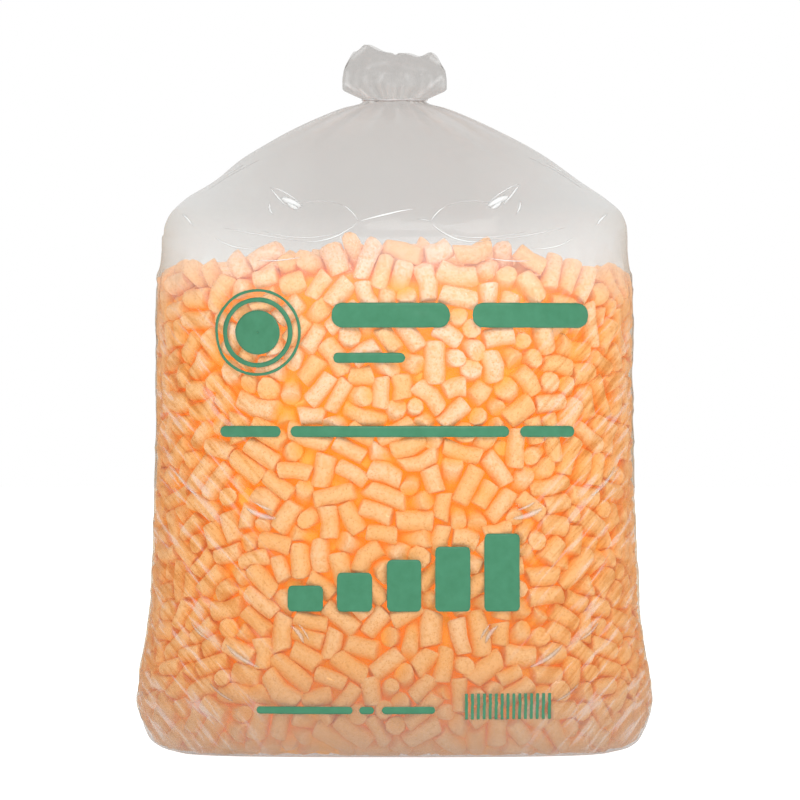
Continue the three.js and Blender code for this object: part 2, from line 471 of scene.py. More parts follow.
def chip_gap(points, outward, beads, bead_radius):
    """For each film point, how far in along its own normal the nearest chip lies, at most
    SLACK. Beads near the film are dropped on the film's grid through a window of cells."""
    rows, columns = points.shape[:2]
    depth, _ = inside_depth(beads)
    close = depth < bead_radius + SLACK
    beads, bead_radius = beads[close], bead_radius[close]
    turn = outline_turn(beads[:, 0], beads[:, 1], beads[:, 2])
    column = np.round(turn / TAU * columns).astype(int)
    row = np.searchsorted(points[:, 0, 2], beads[:, 2])
    gap = np.full((rows, columns), SLACK)
    for dr in range(-GAP_WINDOW, GAP_WINDOW + 1):
        for dc in range(-GAP_WINDOW, GAP_WINDOW + 1):
            r, c = row + dr, (column + dc) % columns
            fits = (r >= 0) & (r < rows)
            r, c = r[fits], c[fits]
            apart = points[r, c] - beads[fits]
            along = (apart * outward[r, c]).sum(1)
            beside = (apart**2).sum(1) - along**2
            room = bead_radius[fits] ** 2 - beside
            reach = np.where(room > 0, along - np.sqrt(np.maximum(room, 0)), SLACK)
            np.minimum.at(gap, (r, c), np.clip(reach, 0, SLACK))
    return gap


def chip_spheres(points):
    """Spheres that fill out each chip: one at each of its rings, and two between each pair of
    rings that stand apart. Returns their middles and radii."""
    rings = points.reshape(len(points), -1, CHIP_SIDES, 3)
    middle = rings.mean(2)
    radius = np.linalg.norm(rings - middle[:, :, None], axis=3).max(2)
    middles, radii = [middle], [radius]
    for a, b in ((2, 3), (3, 4)):
        for t in (0.33, 0.67):
            middles.append((1 - t) * middle[:, [a]] + t * middle[:, [b]])
            radii.append((1 - t) * radius[:, [a]] + t * radius[:, [b]])
    return np.concatenate(middles, 1).reshape(-1, 3), np.concatenate(radii, 1).reshape(-1)


def outline_turn(x, y, z):
    """The angle round the bag at which ring_point gives a point in this direction."""
    power = outline_power(z) / 2
    c = np.sign(x) * np.minimum(np.abs(x) / half_width(z), 1) ** power
    s = np.sign(y) * np.minimum(np.abs(y) / half_depth(z), 1) ** power
    return np.arctan2(s, c) % TAU


def grid_normals(points):
    """Unit normals of a grid of points that closes on itself across its columns."""
    across = np.roll(points, -1, 1) - np.roll(points, 1, 1)
    along = np.gradient(points, axis=0)
    normal = np.cross(across, along)
    return normal / (np.linalg.norm(normal, axis=2, keepdims=True) + 1e-12)


def soften(values, times):
    """Averages a grid with its neighbours, closed across the columns, a number of times."""
    for _ in range(times):
        values = (values + np.roll(values, 1, 1) + np.roll(values, -1, 1)) / 3
        padded = np.concatenate([values[:1], values, values[-1:]])
        values = (padded[:-2] + padded[1:-1] + padded[2:]) / 3
    return values


# Folds on the film's front: start and end as (x, z) in millimetres, how far the fold bows sideways, its
# height and its half width. Each is also made in mirror image.
FOLDS = [
    ((-225, 594), (-206, 606), 1, 2.5, 5),
    ((-138, 618), (-104, 590), 3, 4.0, 7),
    ((-190, 555), (-40, 572), -14, 2.5, 7),
    ((-262, 250), (-150, 130), 8, 3.4, 7),
    ((-268, 205), (-140, 95), 10, 3.6, 7),
    ((-270, 165), (-170, 60), 8, 3.0, 6),
    ((-255, 300), (-190, 215), 5, 2.8, 6),
    ((-262, 345), (-205, 280), 4, 2.6, 6),
    ((-240, 240), (-112, 128), 9, 2.6, 6),
    ((-258, 420), (-215, 330), 5, 2.4, 6),
    ((-262, 480), (-225, 400), 4, 2.2, 6),
]


def fold_height(x, z):
    """Heights of the listed folds at front points (x, z). Along a fold, t runs from 0 to 1 and the line bows
    by bow * 4t(1 - t); its height swells in the middle and dies at its ends."""
    height = np.zeros_like(x)
    for start, end, bow, tall, wide in FOLDS:
        for side in (1, -1):
            ax, az = start[0] * side * MM, start[1] * MM
            bx, bz = end[0] * side * MM, end[1] * MM
            dx, dz = bx - ax, bz - az
            length = math.hypot(dx, dz)
            t = ((x - ax) * dx + (z - az) * dz) / length**2
            off = ((x - ax) * -dz + (z - az) * dx) / length * side
            bell = np.clip(4 * t * (1 - t), 0, 1)
            height += tall * MM * bell**0.7 * ridge(off - bow * MM * bell, wide * MM)
    return height


def film_swell(x, y, z):
    """Slow billows of a slack film: a few crossed waves, stronger above the fill."""
    loose = 0.8 + 1.6 * np.clip((z - 0.50) / 0.10, 0, 1)
    wave = np.sin(x / 0.033 + 1.7 * np.sin(z / 0.061) + y / 0.09)
    wave = wave + 0.7 * np.sin(z / 0.027 + 2.1 * np.sin(x / 0.083) + 2.0)
    wave = wave + 0.5 * np.sin((x + z) / 0.017 + 1.3) * np.sin((y - z) / 0.024)
    return loose * MM * 0.7 * wave


def tuft_rim(across):
    """Height of the mouth's edge over the neck, from the left end (-1) to the right end (1): a
    high left lobe, a slope down to a notch past the middle and a lower right lobe."""
    at = [-1, -0.86, -0.64, -0.5, -0.05, 0.02, 0.08, 0.5, 0.78, 0.9, 1]
    mm = [40, 53, 60, 59, 52, 49, 51, 49, 51.5, 47, 37]
    return np.interp(across, at, mm) * MM


def tuft_points(turn):
    """Rows of the tuft from just above the tie to the mouth's edge. The flare t from 0 to 1 sets
    the half width and half depth; sharp pleats run up from the tie and fade."""
    t = np.linspace(0, 1, TUFT_ROWS + 1)[1:, None] ** 1.15
    at = [0, 0.03, 0.145, 0.25, 0.3, 0.6, 0.85, 1]
    wide = np.interp(t, at, [33, 37, 47, 55.5, 57.5, 57.5, 56, 52]) * MM
    deep = np.interp(t, [0, 0.12, 0.3, 0.55, 0.85, 1], [17, 22, 29, 31, 20, 9]) * MM
    turn = np.broadcast_to(turn, (TUFT_ROWS, len(turn)))
    fade = (1 - t) ** 0.8
    folds = 0.05 * fade * np.cos(15 * turn + 0.8) + 0.05 * fade * np.cos(25 * turn + 2.0)
    folds = folds + 0.09 * np.cos(3 * turn + 0.6) * t + 0.04 * np.cos(8 * turn + 3.6 * t)
    c, s = np.cos(turn), np.sin(turn)
    across = np.sign(c) * np.abs(c) ** 0.85
    x = wide * across * (1 + 0.3 * folds * np.abs(s))
    y = deep * np.sign(s) * np.abs(s) ** 0.9 * (1 + folds)
    z = NECK_Z + t * tuft_rim(across) + 1.5 * MM * t * np.sin(9 * turn + 1)
    return np.stack([x, y, z], -1)


# Painted highlights along creases in the tuft, front and back: start and end as (x, z) in millimetres and
# whiteness.
PAINTED_TUFT_HIGHLIGHTS = [
    ((-24, 714), (-37, 726), 0.16),
    ((19, 714), (31, 726), 0.16),
    ((-42, 727), (-54, 733), 0.14),
    ((38, 730), (52, 741), 0.14),
    ((-53, 734), (-52, 745), 0.12),
    ((53, 731), (54, 738), 0.10),
    ((-45, 763), (-32, 774), 0.14),
    ((40, 763), (49, 756), 0.14),
    ((-6, 717), (-8, 731), 0.07),
    ((0, 717), (1, 733), 0.07),
    ((7, 717), (9, 731), 0.07),
    ((-14, 739), (-13, 743), 0.10),
    ((14, 739), (13, 743), 0.10),
    ((-30, 752), (-8, 757), 0.05),
    ((10, 752), (34, 748), 0.05),
]


def painted_tuft_highlight(points):
    """How white the tuft is painted at each point: painted highlights along its creases, fading out within a
    millimetre or two.
    """
    x, z = points[..., 0], points[..., 2]
    out = np.zeros_like(x)
    for start, end, white in PAINTED_TUFT_HIGHLIGHTS:
        ax, az, bx, bz = (v * MM for v in (*start, *end))
        dx, dz = bx - ax, bz - az
        t = np.clip(((x - ax) * dx + (z - az) * dz) / (dx * dx + dz * dz), 0, 1)
        away = np.hypot(x - ax - t * dx, z - az - t * dz)
        out += white * np.exp(-((away / (1.7 * MM)) ** 2))
    return out


def painted_fold_highlight(points):
    """Painted highlights on the crests of the pleats, on the neck and in the tuft: the sharp lines where the
    film stands out from the mean of its neighbours round the bag, with the tuft's painted crease highlights
    added."""
    reach = np.hypot(points[..., 0], points[..., 1])
    around = sum(np.roll(reach, k, 1) for k in range(-6, 7)) / 13
    out = np.clip((reach - around) / (0.5 * MM), 0, 1)
    z = points[..., 2]
    close = np.clip((z - 660 * MM) / (40 * MM), 0, 1) * np.clip((750 * MM - z) / (30 * MM), 0, 1)
    return out * close * 0.08 + painted_tuft_highlight(points)


def film_points(beads, bead_radius):
    """The film as one grid of points: rings across the flat foot, up the body to the tie, and
    the tuft. The body is pulled in where the chips leave room, but not near the foot, and
    carries folds and pleats."""
    turn = np.arange(FILM_COLUMNS) * TAU / FILM_COLUMNS
    z = film_heights()[:, None] + 0 * turn
    around = turn + 0 * z
    x, y = ring_point(around, z)
    body = np.stack([x, y, z], -1)
    outward = grid_normals(body)
    gap = chip_gap(body, outward, beads, bead_radius)
    gap = np.maximum(gap - FILM_CLEARANCE, 0)
    sink = gap
    for _ in range(6):
        sink = np.minimum(soften(sink, 1), gap)
    filled = 1 - np.clip((z - FILL_TOP + 15 * MM) / (40 * MM), 0, 1)
    filled = filled * np.clip((z - 8 * MM) / (30 * MM), 0, 1)
    lifted = np.clip(z / (6 * MM), 0, 1)
    front = np.where(y < 0, 1.0, 0.8)
    rise = fold_height(np.where(y < 0, x, -x), z) * front
    swell = film_swell(x, y, z) * np.clip((NECK_Z - z) / (80 * MM), 0, 1)
    rise = rise + np.where(z < FILL_TOP, np.maximum(swell, 0), swell)
    body = body + outward * ((rise - sink * filled) * lifted)[..., None]
    pinch = 1 - neck_pleats(around, z)
    body[..., 0] *= 1 - (1 - pinch) * np.abs(np.sin(around)) ** 0.5
    body[..., 1] *= pinch
    body[..., 2] = np.maximum(body[..., 2], FILM_WALL)
    body[0, :, 2] = 0
    foot = np.linspace(0.03, 1, BASE_ROWS + 1)[:-1, None, None] * body[:1] * [1, 1, 0]
    return np.concatenate([foot, body, tuft_points(turn)])


def film_at(grid, x, z, lift):
    """Points over the front of the film at places (x, z), lifted off it along its normal. Each
    place is turned into a row and a column of the grid, and the four points round it are mixed."""
    body = grid[BASE_ROWS : BASE_ROWS + BODY_ROWS]
    normal = grid_normals(body)
    row = np.interp(z, film_heights(), np.arange(BODY_ROWS))
    share = np.minimum(np.abs(x) / half_width(z), 0.999) ** (outline_power(z) / 2)
    column = (1.5 * math.pi + np.sign(x) * np.arcsin(share)) / TAU * FILM_COLUMNS
    r, c = np.floor(row).astype(int), np.floor(column).astype(int)
    r = np.minimum(r, BODY_ROWS - 2)
    dr, dc = (row - r)[..., None], (column - c)[..., None]
    place, out = 0, 0
    for i, down in ((0, 1 - dr), (1, dr)):
        for j, left in ((0, 1 - dc), (1, dc)):
            place = place + down * left * body[r + i, (c + j) % FILM_COLUMNS]
            out = out + down * left * normal[r + i, (c + j) % FILM_COLUMNS]
    return place + lift * out / np.linalg.norm(out, axis=-1, keepdims=True)


# Pinched folds in the film's front: start and end as (x, z) in millimetres, bow, half width and whiteness.
# Each is also made in mirror image.
# The whiteness of each pinched fold is a painted highlight on its crest.
PINCHES = [
    ((39, 580), (97, 557), -8, 0.9, 0.9),
    ((97, 557), (187, 574), -1, 0.7, 0.5),
    ((50, 568), (142, 569), -7, 0.7, 0.6),
    ((39, 580), (57, 597), 2, 0.9, 0.8),
    ((57, 597), (106, 596), 4, 0.6, 0.4),
    ((148, 551), (196, 563), -5, 0.9, 0.8),
    ((100, 540), (148, 537), -2, 0.8, 0.7),
    ((135, 617), (116, 594), 1, 1.1, 0.8),
    ((135, 617), (98, 594), -2, 1.0, 0.7),
    ((123, 603), (100, 594), 0, 4.2, 0.8),
    ((116, 598), (103, 591), 1, 2.6, 0.7),
    ((135, 600), (131, 586), 2, 1.6, 0.6),
    ((222, 577), (233, 590), 1, 1.6, 0.8),
    ((167, 645), (190, 631), 1, 0.8, 0.4),
    ((150, 650), (205, 618), 2, 0.7, 0.3),
    ((160, 269), (128, 258), 2, 3.2, 0.35),
    ((152, 276), (132, 267), 1, 1.6, 0.3),
    ((112, 143), (98, 124), -2, 2.6, 0.25),
    ((104, 145), (92, 127), -1, 1.4, 0.2),
    ((182, 122), (146, 98), 3, 2.6, 0.25),
    ((222, 146), (200, 126), 2, 1.8, 0.2),
    ((200, 80), (174, 61), 2, 1.6, 0.15),
    ((240, 314), (214, 282), 3, 1.6, 0.15),
]
LONE_PINCHES = [
    ((-38, 580), (22, 594), 1, 1.2, 0.9),
    ((24, 583), (40, 580), 1, 0.7, 0.5),
]


def pinch_strips(grid):
    """Grids of three columns, foot, crest and foot, along each pinched fold on the film's front, with the
    whiteness of each point: a painted highlight, brightest on the crest. Along it t runs from 0 to 1, the
    line bows sideways by bow * 4t(1 - t), and its width and height taper to both ends."""
    strips = []
    lines = [(line, side) for line in PINCHES for side in (1, -1)]
    lines += [(line, 1) for line in LONE_PINCHES]
    for (start, end, bow, width, white), side in lines:
        ax, az, bx, bz = (v * MM for v in (*start, *end))
        length = math.hypot(bx - ax, bz - az)
        ux, uz = (bx - ax) / length, (bz - az) / length
        t = np.linspace(0, 1, max(int(length / (2.5 * MM)), 6))[:, None]
        bell = 4 * t * (1 - t)
        across = np.array([-1.0, 0.0, 1.0]) * width * MM * (0.15 + 0.85 * bell**0.6)
        x = ax + (bx - ax) * t + uz * across - uz * bow * MM * bell
        z = az + (bz - az) * t - ux * across + ux * bow * MM * bell
        crest = np.array([0.0, 1.0, 0.0]) * (0.3 + 0.7 * bell)
        if side < 0:
            x, z = -x[:, ::-1], z[:, ::-1]
        lift = 0.08 * MM + 0.7 * min(width, 1.6) * MM * crest
        strips.append((film_at(grid, x, z, lift[..., None]), white * (0.1 + 0.9 * crest)))
    return strips


def make_film(points):
    """The film bag: the grid, its foot closed by one small face, with the pinched folds, all
    with a thin wall."""
    rows, columns = points.shape[:2]
    faces = [grid_faces(rows, columns, wrap=True), np.arange(columns)[None, ::-1]]
    # white collects the painted highlights of the pleats, the tuft and the pinched folds.
    places, white = [points.reshape(-1, 3)], [painted_fold_highlight(points).ravel()]
    first = rows * columns
    for strip, share in pinch_strips(points):
        places.append(strip.reshape(-1, 3))
        white.append(share.ravel())
        faces.append(grid_faces(*strip.shape[:2], wrap=False) + first)
        first += strip.shape[0] * strip.shape[1]
    places = np.concatenate(places)
    piece = mesh_piece("film_bag_skin", places, faces)
    add_attribute(piece, "gathered_and_painted_shade", np.interp(places[:, 2], GATHER_AND_SHADE_AT, GATHER_AND_SHADE_SHARE))
    add_attribute(piece, "painted_crease_highlight", np.concatenate(white))
    wall = piece.modifiers.new("wall", "SOLIDIFY")
    wall.thickness = FILM_WALL
    wall.offset = -1
    wall.use_even_offset = False
    return piece


# =============================================================================================
# The tie and the print
# =============================================================================================


def make_tie():
    """A thin strip drawn round the neck: a flattened round section carried round an ellipse
    just outside the gathered film, rising and falling a little."""
    around, across = 120, 10
    turn = (np.arange(around) * TAU / around)[:, None]
    girth = np.arange(across) * TAU / across
    out = (TIE_HIGH[0] - 3.2 * MM, TIE_HIGH[1] - 3.2 * MM)
    thick = 1.0 * MM * (1 + 0.18 * np.sin(9 * turn + 1))
    tall = 1.0 * MM * (1 + 0.15 * np.cos(7 * turn))
    rise = 0.5 * MM * np.sin(5 * turn + 0.6) + 0.3 * MM * np.sin(11 * turn)
    x = (out[0] + thick * np.cos(girth)) * np.cos(turn)
    y = (out[1] + thick * np.cos(girth)) * np.sin(turn)
    z = NECK_Z + rise + tall * np.sin(girth)
    points = np.stack([x, y, z], -1)
    ring = np.arange(around)[:, None] * across + np.arange(across)
    up = np.roll(ring, -1, 1)
    faces = np.stack([ring, np.roll(ring, -1, 0), np.roll(up, -1, 0), up], -1)
    return mesh_piece("neck_tie_strip", points.reshape(-1, 3), [faces.reshape(-1, 4)])


def bar_places(left, low, wide, tall, corner):
    """A bar with rounded corners as a grid of (x, z): columns along it, closer at its ends, and
    rows across it whose reach follows the corner's arc."""
    columns = max(int(wide / (2.5 * MM)), 8)
    rows = max(int(tall / (2.5 * MM)), 3)
    s = np.linspace(-1, 1, columns + 1)
    s = np.sign(s) * (1 - (1 - np.abs(s)) ** 1.3)
    along = s * wide / 2
    e = np.minimum(wide / 2 - np.abs(along), corner)
    reach = tall / 2 - corner + np.sqrt(np.maximum(corner**2 - (corner - e) ** 2, 0))
    t = np.linspace(-1, 1, rows + 1)[:, None]
    x = left + wide / 2 + along + 0 * t
    return x, low + tall / 2 + t * reach


def ring_places(middle_x, middle_z, inner, outer):
    """A flat ring as circles of places (x, z) about its middle, closed on itself."""
    turn = -np.arange(64) * TAU / 64
    ring = np.linspace(inner, outer, max(int((outer - inner) / (2.5 * MM)), 3))[:, None]
    return middle_x + ring * np.cos(turn), middle_z + ring * np.sin(turn)


RINGS = ((0.2, 24), (33, 38), (44, 47))


def print_shapes():
    """The print as grids of places, those of bars and those of rings: plain bars, steps and
    stripes, laid out as (left, low, wide, tall) in millimetres on the front, and rings."""
    bars = [
        (-68, 464, 128, 27),
        (84, 464, 126, 27),
        (-66, 426, 78, 11),
        (-189, 346, 66, 12),
        (-112, 346, 236, 12),
        (136, 346, 60, 12),
        (-149, 48, 104, 8),
        (-38, 48, 16, 8),
        (-14, 48, 58, 8),
    ]
    steps = [(-115 + 53 * k, 158, 38, 28 + 14 * k) for k in range(5)]
    stripes = [(76 + 6.4 * k, 42, 3.2, 28) for k in range(15)]
    shapes = [
        bar_places(*(v * MM for v in bar), 0.46 * min(bar[2:]) * MM) for bar in bars
    ]
    shapes += [bar_places(*(v * MM for v in step), 5 * MM) for step in steps]
    shapes += [bar_places(*(v * MM for v in stripe), 0.4 * MM) for stripe in stripes]
    rings = [ring_places(-148 * MM, 459 * MM, inner * MM, outer * MM) for inner, outer in RINGS]
    return shapes, rings


def make_print(grid):
    """Every printed shape as a patch just off the film, with a thin wall."""
    points, faces, first = [], [], 0
    bars, rings = print_shapes()
    for number, (x, z) in enumerate(bars + rings):
        rows, columns = x.shape
        points.append(film_at(grid, x, z, PRINT_LIFT).reshape(-1, 3))
        faces.append(grid_faces(rows, columns, wrap=number >= len(bars)) + first)
        first += rows * columns
    piece = mesh_piece("print_ink", np.concatenate(points), faces)
    wall = piece.modifiers.new("wall", "SOLIDIFY")
    wall.thickness = 0.1 * MM
    wall.offset = 1
    wall.use_even_offset = False
    return piece


# =============================================================================================
# Materials
# =============================================================================================


def colour(text):
    """A linear colour from an sRGB hex value."""
    parts = [int(text[k : k + 2], 16) / 255 for k in (1, 3, 5)]
    linear = [v / 12.92 if v <= 0.04045 else ((v + 0.055) / 1.055) ** 2.4 for v in parts]
    return (*linear, 1.0)


def new_material(name):
    material = bpy.data.materials.new(name)
    material.use_nodes = True
    material.node_tree.nodes.clear()
    return material


def add_node(material, kind, settings=(), **inputs):
    """Adds a node. Settings are its properties; inputs are numbers, colours or another node's
    output socket, keyed by socket name with _ for a space, or in0, in1 and so on by place."""
    tree = material.node_tree
    node = tree.nodes.new("ShaderNode" + kind)
    for name, value in dict(settings).items():
        setattr(node, name, value)
    for name, value in inputs.items():
        place = name[2:]
        socket = node.inputs[int(place) if place.isdigit() else name.replace("_", " ")]
        if isinstance(value, bpy.types.NodeSocket):
            tree.links.new(value, socket)
        else:
            socket.default_value = value
    return node


def mix_colour(m, share, first, second):
    """A node that mixes two colours, each a colour or another node's output."""
    node = add_node(m, "Mix", {"data_type": "RGBA"}, in0=share)
    for name, value in (("A", first), ("B", second)):
        socket = [each for each in node.inputs if each.name == name and each.type == "RGBA"][0]
        if isinstance(value, bpy.types.NodeSocket):
            m.node_tree.links.new(value, socket)
        else:
            socket.default_value = value
    return [each for each in node.outputs if each.type == "RGBA"][0]


def vertex_value(m, name):
    """A node that gives a number kept on each vertex."""
    return add_node(m, "Attribute", {"attribute_name": name}).outputs["Fac"]


def starch_foam():
    """Extruded starch foam: a dull, slightly translucent skin with burst bubbles about a millimetre across.
    Light that has passed from chip to chip turns deep orange. A weak glow and a deeper colour stand for that
    light where chips lie deep, and a pale glow stands for the light that the headspace scatters on to the
    crown: all painted light. The faces are painted paler, and the glow brighter, towards the upper middle,
    where more light falls: painted light and shade."""
    m = new_material("extruded_starch_foam")
    m.cycles.emission_sampling = "NONE"
    place = add_node(m, "TexCoord").outputs["Object"]
    shade = vertex_value(m, "shade")
    lit = vertex_value(m, "lit")
    # Painted light: faces paler towards the upper middle and darker at the foot and sides, mixed with each
    # chip's own random tone.
    pale = joined(m, "ADD", scaled(m, shade, 0.42), scaled(m, lit, 0.58))
    tone = add_node(m, "ValToRGB", in0=pale)
    tone.color_ramp.elements[0].color = colour("#F6B06A")
    tone.color_ramp.elements[1].color = colour("#FCD7BE")
    middling = tone.color_ramp.elements.new(0.5)
    middling.color = colour("#F7BE84")
    cloud = add_node(m, "TexNoise", Vector=place, Scale=230.0, Detail=2.0)
    blot = add_node(m, "MapRange", Value=cloud.outputs["Fac"], From_Min=0.45, From_Max=0.7)
    mottled = mix_colour(m, scaled(m, blot.outputs["Result"], 0.6), tone.outputs["Color"], colour("#EBA860"))
    pits = add_node(m, "TexVoronoi", Vector=place, Scale=300.0)
    pit = add_node(
        m, "MapRange", Value=pits.outputs["Distance"], From_Min=0.15, From_Max=0.36, To_Min=0.45, To_Max=0.0
    )
    pitted = mix_colour(m, pit.outputs["Result"], mottled, colour("#CF8038"))
    buried = vertex_value(m, "buried")
    deep = mix_colour(m, buried, pitted, colour("#EE9A18"))
    inner = joined(m, "POWER", buried, 2.2)
    dull = mix_colour(m, inner, colour("#100802"), colour("#946A06"))
    bright = mix_colour(m, inner, colour("#3A2408"), colour("#DC980C"))
    # Painted light: the glow is weaker where less light falls.
    glow = mix_colour(m, lit, dull, bright)
    crown = vertex_value(m, "crown")
    glow = mix_colour(m, crown, glow, colour("#A47C62"))
    grain = add_node(m, "TexNoise", Vector=place, Scale=700.0, Detail=1.0)
    relief = add_node(
        m, "Math", {"operation": "ADD"}, in0=pits.outputs["Distance"], in1=grain.outputs["Fac"]
    )
    bump = add_node(m, "Bump", Height=relief.outputs["Value"], Strength=0.5, Distance=0.8 * MM)
    skin = add_node(
        m,
        "BsdfPrincipled",
        Base_Color=deep,
        Roughness=0.9,
        IOR=1.3,
        Normal=bump.outputs["Normal"],
        Emission_Color=glow,
        Emission_Strength=0.8,
    )
    add_node(m, "OutputMaterial", Surface=skin.outputs["BSDF"])
    return m


def scaled(m, value, by, plus=0.0):
    """A node that gives value * by + plus, kept between 0 and 1."""
    node = add_node(
        m, "Math", {"operation": "MULTIPLY_ADD", "use_clamp": True}, in0=value, in1=by, in2=plus
    )
    return node.outputs["Value"]


def joined(m, operation, first, second):
    """A node that joins two numbers by an operation."""
    return add_node(m, "Math", {"operation": operation}, in0=first, in1=second).outputs["Value"]


def along_line(m, place, direction):
    """A node that measures places along a direction."""
    node = add_node(m, "VectorMath", {"operation": "DOT_PRODUCT"}, in0=place, in1=direction)
    return node.outputs["Value"]


def blown_film():
    """Blown low-density polyethylene film: clear with a grey haze and a soft gloss. It is greyer above the
    fill and where it is gathered, hazier seen edge on, and greyer towards the foot as painted shade. Painted
    highlights make it white along creases, pleats and pinched folds. The sides carry paler and darker
    slanting streaks, a painted highlight and shade that stand for drag creases. A veil of painted reflected
    light lies over the fill's top."""
    m = new_material("blown_polyethylene_film")
    place = add_node(m, "TexCoord").outputs["Object"]
    gathered_and_painted_shade = vertex_value(m, "gathered_and_painted_shade")
    parts = add_node(m, "SeparateXYZ", in0=place)
    side = add_node(m, "Math", {"operation": "ABSOLUTE"}, in0=parts.outputs["X"]).outputs["Value"]
    folded = add_node(m, "CombineXYZ", X=side, Z=parts.outputs["Z"]).outputs["Vector"]
    # Painted highlight and shade on the sides: paler and darker slanting streaks that stand for drag
    # creases.
    down = along_line(m, folded, (-0.66, 0, -0.75))
    over = along_line(m, folded, (0.75, 0, -0.66))
    back = joined(m, "MULTIPLY", parts.outputs["Y"], 0.12)
    drag = add_node(m, "CombineXYZ", X=joined(m, "MULTIPLY", down, 0.08), Y=back, Z=over)
    streak = add_node(m, "TexNoise", Vector=drag.outputs["Vector"], Scale=180.0, Detail=2.0)
    outer = add_node(m, "MapRange", Value=side, From_Min=0.11, From_Max=0.21)
    under = add_node(m, "MapRange", Value=parts.outputs["Z"], From_Min=0.54, From_Max=0.42)
    where = joined(m, "MULTIPLY", outer.outputs["Result"], under.outputs["Result"])
    pale = joined(m, "MULTIPLY", scaled(m, streak.outputs["Fac"], 9.0, -5.0), where)
    dark = joined(m, "MULTIPLY", scaled(m, streak.outputs["Fac"], -8.0, 3.8), where)

    painted_crease_highlight = vertex_value(m, "painted_crease_highlight")
    # Painted reflection: a veil of brighter haze over the fill's upper middle, weaker towards the sides. The
    # brim adds haze along the fill's top edge.
    veil = add_node(m, "MapRange", Value=parts.outputs["Z"], From_Min=0.36, From_Max=0.54, To_Max=0.035)
    above = add_node(m, "MapRange", Value=parts.outputs["Z"], From_Min=0.60, From_Max=0.545)
    middle = add_node(m, "MapRange", Value=side, From_Min=0.22, From_Max=0.10, To_Min=0.3)
    veil = joined(m, "MULTIPLY", veil.outputs["Result"], above.outputs["Result"])
    veil = joined(m, "MULTIPLY", veil, middle.outputs["Result"])
    brim = add_node(m, "MapRange", Value=parts.outputs["Z"], From_Min=0.49, From_Max=0.545, To_Max=0.14)
    brim = joined(m, "MULTIPLY", brim.outputs["Result"], above.outputs["Result"])
    brim = joined(m, "MULTIPLY", brim, scaled(m, outer.outputs["Result"], 0.7, 0.3))
    veil = joined(m, "ADD", veil, brim)
    # Painted shade: greyer and hazier in the lowest ten centimetres.
    foot = add_node(m, "MapRange", Value=parts.outputs["Z"], From_Min=0.10, From_Max=0.0, To_Max=0.06)
    veil = joined(m, "ADD", veil, foot.outputs["Result"])

    ripple = add_node(m, "TexNoise", Vector=place, Scale=34.0, Detail=2.0)
    bump = add_node(m, "Bump", Height=ripple.outputs["Fac"], Strength=0.4, Distance=3 * MM)
    edge = add_node(m, "LayerWeight", Blend=0.5, Normal=bump.outputs["Normal"])
    steep = joined(m, "POWER", edge.outputs["Facing"], 3.0)

    aside = add_node(m, "MapRange", Value=side, From_Min=0.08, From_Max=0.23, To_Min=1.0, To_Max=0.5)
    # Painted shade: greyer towards the foot, besides the real gathers, and less towards the sides.
    layers = joined(m, "MULTIPLY", gathered_and_painted_shade, aside.outputs["Result"])
    tint = mix_colour(m, layers, colour("#FAFBFB"), colour("#EFEEED"))
    tuft = add_node(m, "MapRange", Value=parts.outputs["Z"], From_Min=0.69, From_Max=0.72)
    tint = mix_colour(m, tuft.outputs["Result"], tint, colour("#EDECEB"))
    slant = joined(m, "MULTIPLY", steep, above.outputs["Result"])
    tint = mix_colour(m, slant, tint, colour("#E5DDD3"))
    tint = mix_colour(m, dark, tint, colour("#F0E7D6"))
    tint = mix_colour(m, scaled(m, foot.outputs["Result"], 12.0), tint, colour("#E4E6E9"))
    # Painted highlights: white along the creases, pleats and pinched folds.
    tint = mix_colour(m, scaled(m, painted_crease_highlight, 1.5), tint, colour("#FFFFFF"))
    clear = add_node(m, "BsdfTransparent", Color=tint)
    skin = add_node(
        m,
        "BsdfPrincipled",
        Base_Color=colour("#E6E9E9"),
        Roughness=0.3,
        IOR=1.5,
        Normal=bump.outputs["Normal"],
    )
    haze = joined(m, "ADD", scaled(m, steep, 0.04), scaled(m, gathered_and_painted_shade, 0.024, 0.003))
    haze = joined(m, "ADD", haze, joined(m, "MULTIPLY", pale, 0.13))
    haze = joined(m, "ADD", haze, veil)
    haze = joined(m, "ADD", haze, joined(m, "MULTIPLY", painted_crease_highlight, 0.75))
    both = add_node(m, "MixShader", in0=haze, in1=clear.outputs["BSDF"], in2=skin.outputs["BSDF"])
    gloss = add_node(m, "BsdfGlossy", Roughness=0.11, Normal=bump.outputs["Normal"])
    coated = add_node(
        m,
        "MixShader",
        in0=scaled(m, steep, 0.035, 0.007),
        in1=both.outputs["Shader"],
        in2=gloss.outputs["BSDF"],
    )
    add_node(m, "OutputMaterial", Surface=coated.outputs["Shader"])
    return m


def tie_strip():
    """Soft polyethylene tie strip: thin, milky and a little glossy, with the film showing through."""
    m = new_material("milky_polyethylene_strip")
    place = add_node(m, "TexCoord").outputs["Object"]
    grain = add_node(m, "TexNoise", Vector=place, Scale=400.0, Detail=2.0)
    bump = add_node(m, "Bump", Height=grain.outputs["Fac"], Strength=0.2, Distance=0.3 * MM)
    skin = add_node(
        m,
        "BsdfPrincipled",
        Base_Color=colour("#DADADC"),
        Roughness=0.35,
        IOR=1.5,
        Normal=bump.outputs["Normal"],
    )
    clear = add_node(m, "BsdfTransparent", Color=colour("#F7F6F5"))
    milky = add_node(m, "MixShader", in0=0.4, in1=clear.outputs["BSDF"], in2=skin.outputs["BSDF"])
    add_node(m, "OutputMaterial", Surface=milky.outputs["Shader"])
    return m


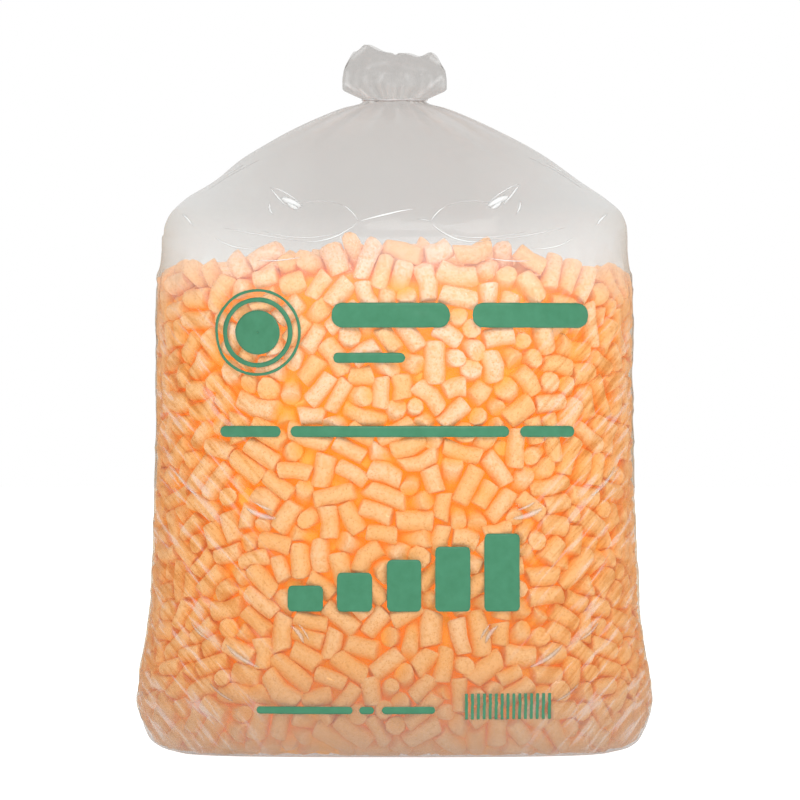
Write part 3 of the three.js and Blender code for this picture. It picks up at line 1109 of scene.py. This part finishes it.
def flexo_ink():
    """Flexographic ink on film: one flat green, a little thin in places, satin."""
    m = new_material("flexographic_green_ink")
    place = add_node(m, "TexCoord").outputs["Object"]
    cover = add_node(m, "TexNoise", Vector=place, Scale=90.0, Detail=5.0)
    tone = add_node(m, "ValToRGB", in0=cover.outputs["Fac"])
    tone.color_ramp.elements[0].position = 0.3
    tone.color_ramp.elements[1].position = 0.75
    tone.color_ramp.elements[0].color = colour("#2A6D4C")
    tone.color_ramp.elements[1].color = colour("#337656")
    skin = add_node(m, "BsdfPrincipled", Base_Color=tone.outputs["Color"], Roughness=0.45, IOR=1.45)
    add_node(m, "OutputMaterial", Surface=skin.outputs["BSDF"])
    return m


def pale_floor():
    """A matt floor that gives off white light, so that it shows no contact shadow."""
    m = new_material("painted_studio_floor")
    skin = add_node(
        m,
        "BsdfPrincipled",
        Base_Color=colour("#B4B4B4"),
        Roughness=0.9,
        Specular_IOR_Level=0.0,
        Emission_Color=colour("#FFFFFF"),
        Emission_Strength=1.0,
    )
    add_node(m, "OutputMaterial", Surface=skin.outputs["BSDF"])
    return m


# =============================================================================================
# The studio
# =============================================================================================


def make_studio():
    floor = mesh_piece(
        "studio_floor",
        np.array([[-30, -30, 0], [30, -30, 0], [30, 30, 0], [-30, 30, 0]], float) - [0, 0, 0.4 * MM],
        [np.array([[0, 1, 2, 3]])],
    )
    floor.data.materials.append(pale_floor())
    world = bpy.data.worlds.new("studio")
    world.use_nodes = True
    world.node_tree.nodes["Background"].inputs["Color"].default_value = colour("#FFFFFF")
    world.node_tree.nodes["Background"].inputs["Strength"].default_value = 1.0
    bpy.context.scene.world = world
    bpy.context.scene.view_settings.view_transform = "Standard"


def soft_light(name, place, aim, side, power):
    data = bpy.data.lights.new(name, "AREA")
    data.shape = "SQUARE"
    data.size = side
    data.energy = power
    lamp = bpy.data.objects.new(name, data)
    lamp.location = place
    lamp.rotation_euler = (Vector(aim) - Vector(place)).to_track_quat("-Z", "Y").to_euler()
    bpy.context.scene.collection.objects.link(lamp)


def make_camera():
    """A long lens, level, in front of the bag at half its height."""
    data = bpy.data.cameras.new("camera")
    camera = bpy.data.objects.new("camera", data)
    distance = 10.0
    field = 0.8758
    data.sensor_width = 36
    data.lens = 36 * distance / field
    camera.location = (6 * MM, -distance - 0.05, 386 * MM)
    camera.rotation_euler = (math.pi / 2, 0, 0)
    bpy.context.scene.collection.objects.link(camera)
    bpy.context.scene.camera = camera


# =============================================================================================
# The assembly
# =============================================================================================

make_camera()
make_studio()
soft_light("key_light", (0.25, -1.4, 1.5), (0, 0, 0.5), 0.9, 13)
soft_light("left_strip", (-1.5, -1.7, 0.9), (0, 0, 0.35), 0.3, 2)
soft_light("right_strip", (1.5, -1.7, 0.9), (0, 0, 0.35), 0.3, 2)
soft_light("top_light", (0, 0.3, 2.4), (0, 0, 0.5), 1.6, 5)

chips, chip_points = make_chips()
foam = starch_foam()
loose = [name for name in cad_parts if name.startswith("loose_chip")]
shown_for = (["settled_fill"], loose[::3], loose[1::3], loose[2::3])
for piece, nodes in zip(chips, shown_for):
    piece.data.materials.append(foam)
    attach(piece, "root")
    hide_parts(*nodes)

film_grid = film_points(*chip_spheres(chip_points))
film = make_film(film_grid)
film.data.materials.append(blown_film())
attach(film, "root")
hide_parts("film_bag")

tie = make_tie()
tie.data.materials.append(tie_strip())
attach(tie, "root")
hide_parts("neck_tie")

ink = make_print(film_grid)
ink.data.materials.append(flexo_ink())
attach(ink, "root")
